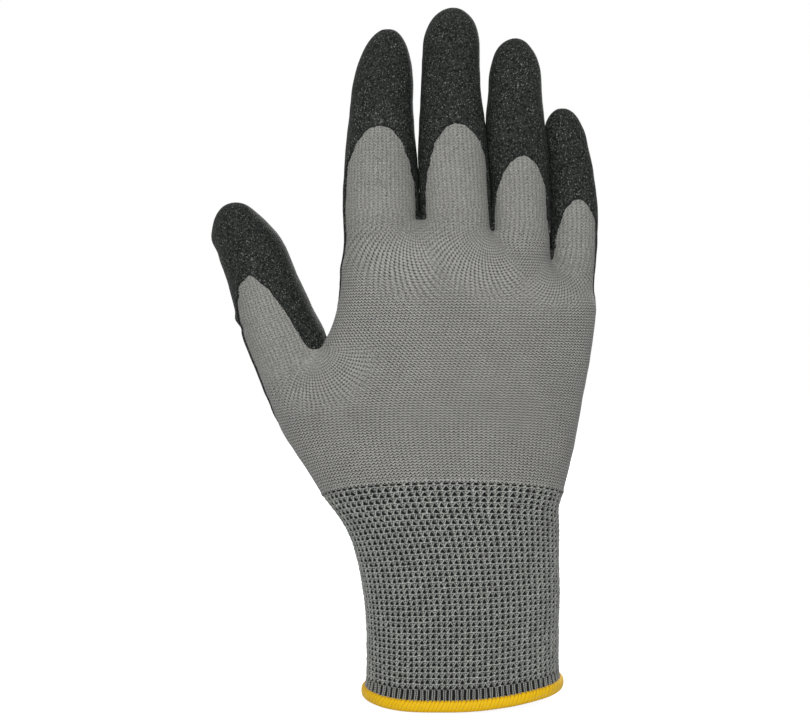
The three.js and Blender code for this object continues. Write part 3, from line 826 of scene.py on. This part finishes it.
def fan_map(label, x, z):
    """Ray and ring numbers round the nearest web of a set, and how much they show."""
    best, wale, row, shown = np.full_like(x, 1e9), 0 * x, 0 * x, 0 * x
    for cx, cz, middle, reach, bend in FANS[label]:
        radius = np.hypot(x - cx, z - cz)
        turn = np.mod(np.degrees(np.arctan2(z - cz, x - cx)) - middle + 180, 360) - 180
        nearer = radius / reach < best
        best = np.where(nearer, radius / reach, best)
        wale = np.where(nearer, (turn - bend * radius) / 360 * FAN_RAYS, wale)
        row = np.where(nearer, radius / COURSE, row)
        share = 1 - ramp(np.abs(turn), FAN_SPREAD - 20, FAN_SPREAD + 5)
        shown = np.where(nearer, (1 - ramp(radius, reach * 0.5, reach)) * share, shown)
    return wale, row, shown


def fine_share(x, y, z):
    """How far the knit has closed up to the fingers' finer one, near the fingers and the thumb."""
    along, _, _, side = thumb_frame(x, y, z)
    bases = np.array([FINGERS[name]["cut"] for name in FINGER_NAMES])
    cut = bases[np.searchsorted(BETWEEN_FINGERS, x)]
    thumb = ramp(along, -14, 8) * ramp(-side, -13, -6)
    return np.maximum(ramp(z, cut - 15, cut - 1), thumb)


def corner_map(faces, wale, row, around):
    """Map coordinates for each face corner, where stitch numbers start again after `around` of them."""
    order, sizes, starts = face_corners(faces)
    wales = wale[order]
    highest = np.repeat(np.maximum.reduceat(wales, starts), sizes)
    wales = np.where(highest - wales > around / 2, wales + around, wales)
    return np.stack([wales, row[order]], -1)


# ---- the hand ----

HAND_LOW, HAND_HIGH = (-76, -26, WRIST_END - 2), (49, 26, 168)   # the block that holds the hand's piece


def coat_gap_of(knit, coated):
    """The field of a coating's outer face over a knitted skin."""
    return lambda x, y, z: knit(x, y, z) - lift(coated(x, y, z))


def hand_cuts():
    """The planes that part the hand from the wrist, the thumb and each finger."""
    cuts = [((0, 0, WRIST_END), (0, 0, -1), lambda c: c[:, 2] < WRIST_END + 5)]
    thumb_at = THUMB_BASE + THUMB_CUT * THUMB_ALONG
    cuts.append((thumb_at, THUMB_ALONG, lambda c: (c[:, 0] < THUMB_PLANE) & (c[:, 2] > 105)))

    def beside(low, high, base):
        return lambda c: (c[:, 0] > low) & (c[:, 0] < high) & (c[:, 2] > base)

    edges = [THUMB_PLANE, *BETWEEN_FINGERS, HAND_HIGH[0]]
    for name, low, high in zip(FINGER_NAMES, edges, edges[1:]):
        cut = FINGERS[name]["cut"]
        cuts.append(((0, 0, cut), (0, 0, 1), beside(low, high, cut - 6)))
    return cuts


def make_hand():
    """The knit of the hand with the roots of the thumb and the fingers, and the coating on its palm."""
    cuts = hand_cuts()
    points, quads = surface_net(knit_gap, HAND_LOW, HAND_HIGH, CELL)
    points, faces = trim(points, quads, cuts)
    points, faces = only(points, faces, np.ones(len(faces), bool))
    x, y, z = points.T
    maps = {"knit": corner_map(faces, *hand_map(x, y, z), HAND_WALES)}
    along, across, palm, side = thumb_frame(x, y, z)
    turn = np.mod(np.arctan2(-palm / THUMB_FLATNESS, across - through(along, THUMB_SHIFT)), 2 * math.pi)
    maps["thumb"] = corner_map(faces, THUMB_WALES * turn / (2 * math.pi), along / COURSE, THUMB_WALES)
    values = {"thumb_share": ramp(along, -5, 6) * ramp(-side, -14, -9), "fine_share": fine_share(x, y, z)}
    for label in FANS:
        wale, row, shown = fan_map(label, x, z)
        maps[label] = corner_map(faces, wale, row, FAN_RAYS)
        values[label + "_share"] = shown * (y < 4)
    knit = add_cloth("knit_hand", points, faces, slope_of(knit_gap, points), maps, values)
    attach(knit, "hand")
    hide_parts("hand_knit")

    coat_gap = coat_gap_of(knit_gap, hand_coated)
    points, quads = surface_net(coat_gap, HAND_LOW, HAND_HIGH, CELL)
    points, faces = trim(points, quads, cuts)
    points, faces = only(points, faces, face_means(faces, hand_coated(*points.T)) > COAT_KEPT)
    coat = add_piece("coating_palm", points, faces, FOAM, slope_of(coat_gap, points))
    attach(coat, "hand")
    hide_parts("palm_coating")


# ---- the fingers and the thumb ----

def limb_grid(gap, place, bounds, foot, top, columns, step):
    """Rings of points on a rounded tube: the points, the ring places, and the numbers of the rings at the
    bounds. Rings stand about `step` apart up to the foot of the rounded end and then at even angles of a
    quarter circle up to the top; the ring nearest each inner bound is moved onto it. place(along, turn) gives
    the centre of a ring and the direction of a turn in it."""
    straight = np.linspace(bounds[0], foot, int(round((foot - bounds[0]) / step)) + 1)
    angles = np.linspace(0, math.radians(87), int(round(1.5 * (top - foot) / step)) + 1)[1:]
    rows = np.concatenate([straight, foot + (top - foot) * np.sin(angles)])
    marks = [0, *(int(np.abs(rows - b).argmin()) for b in bounds[1:-1]), len(rows) - 1]
    for mark, bound in zip(marks[1:-1], bounds[1:-1]):
        rows[mark] = bound
    turns = np.arange(columns) * 2 * math.pi / columns
    along, turn = (g.ravel() for g in np.meshgrid(rows, turns, indexing="ij"))
    centres, directions = place(along, turn)
    return rays(gap, centres, directions, 24), rows, marks


def limb_pieces(points, rows, marks, columns, pole):
    """Cuts a limb's grid into its lengths: points, faces and rows of each, the last closed at the pole."""
    found = []
    for k, (first, last) in enumerate(zip(marks, marks[1:])):
        part = points.reshape(-1, columns, 3)[first:last + 1].reshape(-1, 3)
        faces = grid_faces(last - first + 1, columns).tolist()
        if k == len(marks) - 2:
            rim = len(part) - columns + np.arange(columns)
            faces += np.stack([rim, np.full(columns, len(part)), np.roll(rim, -1)], -1).tolist()
            part = np.concatenate([part, [pole]])
        found.append((part, faces, rows[first:last + 1]))
    return found


def limb_map(faces, rows, columns, wales, start):
    """Map coordinates of a limb's grid and of the fan of triangles at its pole."""
    wale = start + np.arange(columns + 1) * wales / columns
    row = rows / COURSE
    u, v = np.meshgrid(wale, row)
    pairs = grid_map(len(rows), columns, u, v)
    extra = len(faces) - (len(rows) - 1) * columns
    if extra:
        j = np.arange(extra)
        tip = np.stack([np.stack([wale[j], (wale[j] + wale[j + 1]) / 2, wale[j + 1]], -1),
                        np.tile([row[-1], row[-1] + 1, row[-1]], (extra, 1))], -1)
        pairs = np.concatenate([pairs, tip.reshape(-1, 2)])
    return pairs


def add_limb_part(kind, title, gap, coated, part, faces, map_of):
    """One length of a finger or the thumb: knit with its wall, or as much of the coating as shows."""
    if kind == "knit":
        fine = {"fine_share": np.ones(len(part))}
        return add_cloth(title, part, faces, slope_of(gap, part), {"knit": limb_map(faces, *map_of)}, fine)
    part, faces = only(part, faces, face_means(faces, coated(*part.T)) > COAT_KEPT)
    return add_piece(title, part, faces, FOAM, slope_of(gap, part))


LEVELS = ("proximal", "middle", "distal")
PARTS = ("root", "middle", "tip")
FINGER_COLUMNS = {"knit": 96, "coating": 144}     # points in a ring
THUMB_COLUMNS = {"knit": 104, "coating": 160}
RING_STEPS = {"knit": 0.7, "coating": 0.45}       # between the rings


def bend_line(name, low, high, lean):
    """Start and end, in metres, of a bend between two heights. The bend starts later on the back of the
    finger by the lean, so that the back stands over the knuckle while the palm side folds in."""
    _, cy, half = finger_line(name, np.array([low]))
    depth = half[0] * FINGER_FLATNESS
    start = np.array([0, cy[0] + depth, low]) if lean else np.array([0, cy[0], low])
    length = (high - low) * math.cos(lean) - 2 * depth * math.sin(lean)
    end = start + length * np.array([0, math.sin(lean), math.cos(lean)])
    return tuple(start * MM), tuple(end * MM)


def make_finger(name):
    """The knit and the coating of one finger, each in three lengths that part at its joints."""
    f = FINGERS[name]
    knuckle, middle, end = f["bends"]
    bounds = [f["cut"], knuckle[1], (middle[1] + end[0]) / 2, f["tip"]]

    def knit_gap_here(x, y, z):
        return finger_gap(name, x, y, z) - unevenness(x, y, z)

    def coated(x, y, z):
        return finger_coated(name, x, y, z)

    def place(along, turn):
        cx, cy, _ = finger_line(name, along)
        direction = np.stack([np.cos(turn), -FINGER_FLATNESS * np.sin(turn), 0 * turn], -1)
        return np.stack([cx, cy, along], -1), direction / np.linalg.norm(direction, axis=1)[:, None]

    cx, cy, _ = finger_line(name, np.array([f["foot"] + 2.0]))
    base = np.array([[cx[0], cy[0], f["foot"] + 2.0]])
    for kind, gap in (("knit", knit_gap_here), ("coating", coat_gap_of(knit_gap_here, coated))):
        columns = FINGER_COLUMNS[kind]
        pole = rays(gap, base, np.array([[0, 0, 1.0]]), 40)[0]
        points, rows, marks = limb_grid(gap, place, bounds, f["foot"], pole[2], columns, RING_STEPS[kind])
        for k, (part, faces, part_rows) in enumerate(limb_pieces(points, rows, marks, columns, pole)):
            piece = add_limb_part(kind, f"{kind}_{name}_{PARTS[k]}", gap, coated, part, faces,
                                  (part_rows, columns, 2 * FINGER_WALES[name], FINGER_STARTS[name]))
            lean = KNUCKLE_LEAN if k == 0 else 0.0
            start, end = bend_line(name, *f["bends"][k], lean)
            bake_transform(piece)
            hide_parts(f"{name}_{LEVELS[k]}_{kind}")


def make_thumb():
    """The knit and the coating of the thumb, each in two lengths."""
    bounds = [THUMB_CUT, THUMB_BENDS[0][1], THUMB_TIP]
    names = ("proximal", "distal")

    def knit_gap_here(x, y, z):
        return thumb_gap(x, y, z) - unevenness(x, y, z)

    def coated(x, y, z):
        return thumb_coated(x, y, z) + ragged(x, y, z)

    def line(along):
        shift = through(along, THUMB_SHIFT)
        return THUMB_BASE + np.outer(along, THUMB_ALONG) + np.outer(shift, THUMB_SIDE)

    def place(along, turn):
        direction = np.outer(np.cos(turn), THUMB_ACROSS) - THUMB_FLATNESS * np.outer(np.sin(turn), THUMB_PALM)
        return line(along), direction / np.linalg.norm(direction, axis=1)[:, None]

    for kind, gap in (("knit", knit_gap_here), ("coating", coat_gap_of(knit_gap_here, coated))):
        columns = THUMB_COLUMNS[kind]
        pole = rays(gap, line(np.array([THUMB_FOOT + 8.0])), THUMB_ALONG[None, :], 40)[0]
        top = float((pole - THUMB_BASE) @ THUMB_ALONG)
        points, rows, marks = limb_grid(gap, place, bounds, THUMB_FOOT, top, columns, RING_STEPS[kind])
        for k, (part, faces, part_rows) in enumerate(limb_pieces(points, rows, marks, columns, pole)):
            piece = add_limb_part(kind, f"{kind}_thumb_{('root', 'tip')[k]}", gap, coated, part, faces,
                                  (part_rows, columns, THUMB_WALES, 0))
            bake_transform(piece)
            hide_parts(f"thumb_{names[k]}_{kind}")


# ---- the cuff ----

RIB_COLUMNS = 84       # cells of the rib once round the cuff
RIB_ROWS = 40          # cells from the hem to the hand
RIB_CELL = (2.27, 1.81)          # width and height of a cell
RIB_FINENESS = (10, 8)           # grid lines to a cell, across and up
STRAND_WIDTH, CORD_WIDTH, LOOP_SIZE = 0.21, 0.2, (0.27, 0.24)
CHAIN_ROWS = 3.0                 # rows above the hem where the cells turn into upright chains
RIB_SPLITS = [0, 14, 29, RIB_ROWS]
RIB_RELIEF, RIB_DEPTH = 0.85, 0.5   # height of the yarns, and how far the holes' floor lies below the skin
RIB_WALL = 1.3                   # from the skin to the inner face
RIB_FLARE, FLARE_HEIGHT = 1.8, 2.2  # how far the rib is stretched outward by the hem, and how high up
INNER_ROWS = 44
HEM_HALF_HEIGHT, HEM_HALF_DEPTH = 1.85, 1.5
HEM_LINE = [(-33, 0.9), (-26, 0.4), (-8, 0.6), (3, 0.9), (15, 2.1), (24, 3.3), (34.5, 4.4)]  # its lower edge
HEM_WRAPS = 132
HEM_SIDES, WRAP_LINES = 36, 8    # points round the ring's section, and sections to a wrap
HEM_OUT = 0.5                    # from the skin to the middle of the ring's section


def hem_line(x):
    """Height of the hem's lower edge."""
    return through(x, HEM_LINE)


def cuff_point(turn, z, out):
    """A point of the cuff's section at a turn and a height, `out` from its skin along the normal: the section
    is |across / half|^p + |deep / depth|^p = 1."""
    turn, z, out = np.broadcast_arrays(turn, z, out)
    middle, half = hand_width(z)
    depth = np.where(np.cos(turn) < 0, through(z, BACK_DEPTH), through(z, PALM_DEPTH))
    u, v = rounded(np.sin(turn)), rounded(np.cos(turn))
    points = np.stack([middle + half * u, depth * v, z], -1)
    normal = np.stack([np.sign(u) * np.abs(u) ** (HAND_POWER - 1) / half,
                       np.sign(v) * np.abs(v) ** (HAND_POWER - 1) / depth, 0 * z], -1)
    normal /= np.linalg.norm(normal, axis=-1, keepdims=True)
    return points + normal * (out + unevenness(*np.moveaxis(points, -1, 0)))[..., None]


def rib_relief(u, v):
    """Height of the rib's yarns, 0 in the holes to 1. In each cell two slanted strands lean together over a
    triangular hole, a cord runs along the cell's foot, and a loop shows between neighbouring pairs. The
    lowest rows are pairs of upright chains instead. Every strand wanders and rises a little on its own. Its
    section is a bell curve, height times exp(-(distance / width)^2), and the highest yarn of all shows."""
    wide, high = RIB_CELL
    u, v = np.broadcast_arrays(u, v)
    radius, angle = RIB_COLUMNS * wide / (2 * math.pi), 2 * math.pi * u / RIB_COLUMNS
    round_x, round_y = radius * np.cos(angle), radius * np.sin(angle)
    drift = [waves(round_x, round_y, v * high, 3.4, seed, 8) for seed in (31, 32, 33, 34)]
    u, v_moved = u + 0.05 * drift[0], v + 0.06 * drift[1]
    offset, y = (np.mod(u, 1) - 0.5) * wide, np.mod(v_moved, 1) * high
    x = np.abs(offset)
    top, foot = np.array([0.04, 0.98 * high]), np.array([0.5 * wide, 0.12 * high])
    along = (foot - top) / np.linalg.norm(foot - top)
    side = (x - top[0]) * along[1] - (y - top[1]) * along[0]
    leg = (0.84 + 0.12 * np.sign(offset) + 0.1 * drift[2]) * np.exp(-(side / STRAND_WIDTH) ** 2)
    sway = 0.07 * np.cos(2 * math.pi * u)
    cord = (0.85 + 0.1 * drift[3]) * np.exp(-((np.minimum(y, high - y) - sway) / CORD_WIDTH) ** 2)
    loop = 1.25 * np.exp(-(((x - 0.5 * wide) / LOOP_SIZE[0]) ** 2 + ((y - 0.64 * high) / LOOP_SIZE[1]) ** 2))
    between = 0.38 * ramp(-side, 0.0, 0.5)
    cells = np.maximum.reduce([leg, cord, loop, between])
    chain = np.exp(-((x - 0.38) / 0.28) ** 2) * (0.8 + 0.25 * np.cos(6 * math.pi * v + 2 * offset))
    return cells + (chain - cells) * ramp(-v, -CHAIN_ROWS - 0.25, -CHAIN_ROWS + 0.25)


def make_rib():
    """The rib: its outer face in three bands, with the yarns as relief, and its plain inner face."""
    columns = RIB_COLUMNS * RIB_FINENESS[0]
    share = np.arange(columns) / columns
    turn = np.interp(share, GIRTH, TURN)
    body_x = 33 * rounded(np.sin(turn))
    low, high = hem_line(body_x) + 1.6, rib_top(turn) + 0.5
    bands = ("lower", "middle", "upper")
    for name, first, last in zip(bands, RIB_SPLITS, RIB_SPLITS[1:]):
        v = np.linspace(first, last, (last - first) * RIB_FINENESS[1] + 1)
        z = low + (high - low) * (v / RIB_ROWS)[:, None]
        relief = rib_relief(share * RIB_COLUMNS, v[:, None])
        flare = 0.05 + RIB_FLARE * np.exp(-(z - low) / FLARE_HEIGHT)
        fade = 1 - 0.8 * ramp(v, RIB_ROWS - 0.7, RIB_ROWS)[:, None]
        out = flare + (RIB_RELIEF * relief - RIB_DEPTH) * fade
        points = cuff_point(turn[None, :], z, out).reshape(-1, 3)
        piece = add_piece(f"rib_cuff_{name}", points, grid_faces(len(v), columns), RIB,
                          values={"relief": relief.ravel()})
        if name == "upper":
            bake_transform(piece)
        else:
            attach(piece, "cuff")
        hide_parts("cuff_rib")
    share, turn, low, high = (values[::4] for values in (share, turn, low, high))
    v = np.linspace(0, 1, INNER_ROWS)[:, None]
    relief = 0.45 + 0.2 * np.cos(math.pi * RIB_COLUMNS * share) + 0 * v
    points = cuff_point(turn[None, :], low + (high - low) * v, -RIB_WALL).reshape(-1, 3)
    inner = add_piece("rib_inner_face", points, grid_faces(INNER_ROWS, len(turn))[:, ::-1], RIB,
                      values={"relief": relief.ravel()})
    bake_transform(inner)


def make_hem():
    """The overlocked hem: slanted wraps of thread round the cuff's edge, with a scalloped upper edge."""
    rings, sides = HEM_WRAPS * WRAP_LINES, HEM_SIDES
    share = (np.arange(rings) / rings)[:, None]
    turn = np.interp(share, GIRTH, TURN)
    angle = (np.arange(sides) * 2 * math.pi / sides)[None, :]
    wrap = HEM_WRAPS * share + 0.75 * np.sin(angle) + 0.15 * np.cos(angle)
    wrap = wrap + 0.12 * np.sin(2 * math.pi * 17 * share) + 0.1 * np.sin(2 * math.pi * 41 * share)
    ridge = np.abs(np.cos(math.pi * wrap)) ** 0.5
    upper = np.maximum(np.sin(angle), 0) ** 3
    size = 1 + (0.05 + 0.15 * upper) * (ridge - 0.6)
    across, up = (np.sign(part) * np.abs(part) ** 0.8 for part in (np.cos(angle), np.sin(angle)))
    out = HEM_OUT + HEM_HALF_DEPTH * across * size
    rise = HEM_HALF_HEIGHT * up * size
    edge = cuff_point(turn, 2.0, out)
    edge[..., 2] = hem_line(edge[..., 0]) + HEM_HALF_HEIGHT + rise
    faces = grid_faces(rings + 1, sides)[:, ::-1] % (rings * sides)
    # painted shade: the thread darkens in the grooves between the wraps, and also toward the ring's upper
    # side
    relief = np.clip(ridge * (1.05 - 0.55 * upper), 0, 1)
    piece = add_piece("hem_overlock", edge.reshape(-1, 3), faces, THREAD,
                      values={"relief": relief.ravel()})
    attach(piece, "cuff")
    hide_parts("cuff_hem")


def make_wrist():
    """The plain knit between the rib's arched top and the hand, standing a little proud over the rib."""
    columns, count = 288, 26
    share = np.arange(columns + 1) / columns
    turn = np.interp(share, GIRTH, TURN)
    up = np.linspace(0, 1, count)[:, None]
    z = (rib_top(turn) - 0.6) * (1 - up) + WRIST_END * up
    middle, half = hand_width(z)
    depth = through(z, BACK_DEPTH)
    direction = np.stack([half * rounded(np.sin(turn)), depth * rounded(np.cos(turn)), 0 * z], -1)
    direction /= np.linalg.norm(direction, axis=-1, keepdims=True)
    centres = np.stack([middle, 0 * z, z], -1)
    points = rays(knit_gap, centres[:, :-1].reshape(-1, 3), direction[:, :-1].reshape(-1, 3), 70)
    normals = slope_of(knit_gap, points)
    lip = 0.35 * ramp(-up, -0.1, 0.0) * np.ones((1, columns))
    points = points + normals * lip.reshape(-1, 1)
    maps = {"knit": grid_map(count, columns, HAND_WALES * share + 0 * z, course(0, z, turn))}
    piece = add_cloth("knit_wrist", points, grid_faces(count, columns), normals, maps, {})
    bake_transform(piece)


# ---- the stage ----

CAMERA_AT = (-19, -480, 115)
VIEW_WIDTH = 275.7     # width of what the camera takes in, in the plane of the glove's middle
SENSOR_WIDTH = 36.0
LAMPS = {"key": ((-0.2, -1.1, 0.65), 9.4), "fill": ((0.6, -0.9, 0.2), 0.8), "back": ((0.35, 1.1, 0.65), 11)}
LAMP_AIM, LAMP_SIZE = (0, 0, 0.12), 0.6    # the lamps' places, aim and size in metres, their power in watts
FLOOR_HALF, FLOOR_AT = 4.0, -0.0003        # metres
FLOOR_SHADE, FLOOR_GLOW = 0.6, 0.94        # the floor as lit, and what is added so that it shows white
SURROUND_LIGHT = 0.22                      # how strongly the white surround lights the glove


def link(thing):
    """Puts an object in the scene."""
    bpy.context.scene.collection.objects.link(thing)
    return thing


def make_camera():
    """A level camera in front of the back of the hand."""
    camera = link(bpy.data.objects.new("camera", bpy.data.cameras.new("camera")))
    camera.data.sensor_width = SENSOR_WIDTH
    camera.data.lens = SENSOR_WIDTH * -CAMERA_AT[1] / VIEW_WIDTH
    camera.location = [c * MM for c in CAMERA_AT]
    camera.rotation_euler = (math.pi / 2, 0, 0)
    bpy.context.scene.camera = camera


def make_lamp(name, place, watts):
    """A soft square lamp at a place, turned toward the glove."""
    lamp = link(bpy.data.objects.new(name, bpy.data.lights.new(name, "AREA")))
    lamp.data.size = LAMP_SIZE
    lamp.data.energy = watts
    lamp.location = place
    reach = np.array(LAMP_AIM) - np.array(place)
    lamp.rotation_euler = (math.atan2(math.hypot(reach[0], reach[1]), -reach[2]), 0,
                           math.atan2(reach[1], reach[0]) - math.pi / 2)


def seen_directly(n):
    """1 for the rays by which the camera sees the surround: straight, mirrored, or through a clear thing."""
    path = n.add("ShaderNodeLightPath").outputs
    seen = n.math("MAXIMUM", path["Is Camera Ray"], path["Is Glossy Ray"])
    return n.math("MAXIMUM", seen, path["Is Transmission Ray"])


def make_stage():
    """A white floor that keeps the glove's shadow, a white surround, and soft studio light."""
    mesh = bpy.data.meshes.new("floor")
    corners = [(FLOOR_HALF * x, FLOOR_HALF * y, 0) for x, y in ((-1, -1), (1, -1), (1, 1), (-1, 1))]
    mesh.from_pydata(corners, [], [(0, 1, 2, 3)])
    floor = link(bpy.data.objects.new("floor", mesh))
    floor.location.z = FLOOR_AT
    white = bpy.data.materials.new("white_floor")
    n = fresh_nodes(white)
    glow = n.math("MULTIPLY", seen_directly(n), FLOOR_GLOW)
    diffuse = n.add("ShaderNodeBsdfDiffuse", {}, {"Color": (FLOOR_SHADE, FLOOR_SHADE, FLOOR_SHADE, 1)})
    emission = n.add("ShaderNodeEmission", {}, {"Color": (1, 1, 1, 1), "Strength": glow})
    total = n.add("ShaderNodeAddShader", {}, {0: diffuse.outputs[0], 1: emission.outputs[0]})
    n.add("ShaderNodeOutputMaterial", {}, {"Surface": total.outputs[0]})
    mesh.materials.append(white)

    world = bpy.data.worlds.new("surround")
    bpy.context.scene.world = world
    n = fresh_nodes(world)
    strength = n.between(seen_directly(n), SURROUND_LIGHT, 1.0)
    light = n.add("ShaderNodeBackground", {}, {"Color": (1, 1, 1, 1), "Strength": strength})
    n.add("ShaderNodeOutputWorld", {}, {"Surface": light.outputs[0]})

    for name, (place, watts) in LAMPS.items():
        make_lamp(name, place, watts)
    bpy.context.scene.view_settings.view_transform = "Standard"


make_camera()
make_stage()
make_hand()
for finger in FINGER_NAMES:
    make_finger(finger)
make_thumb()
make_wrist()
make_rib()
make_hem()
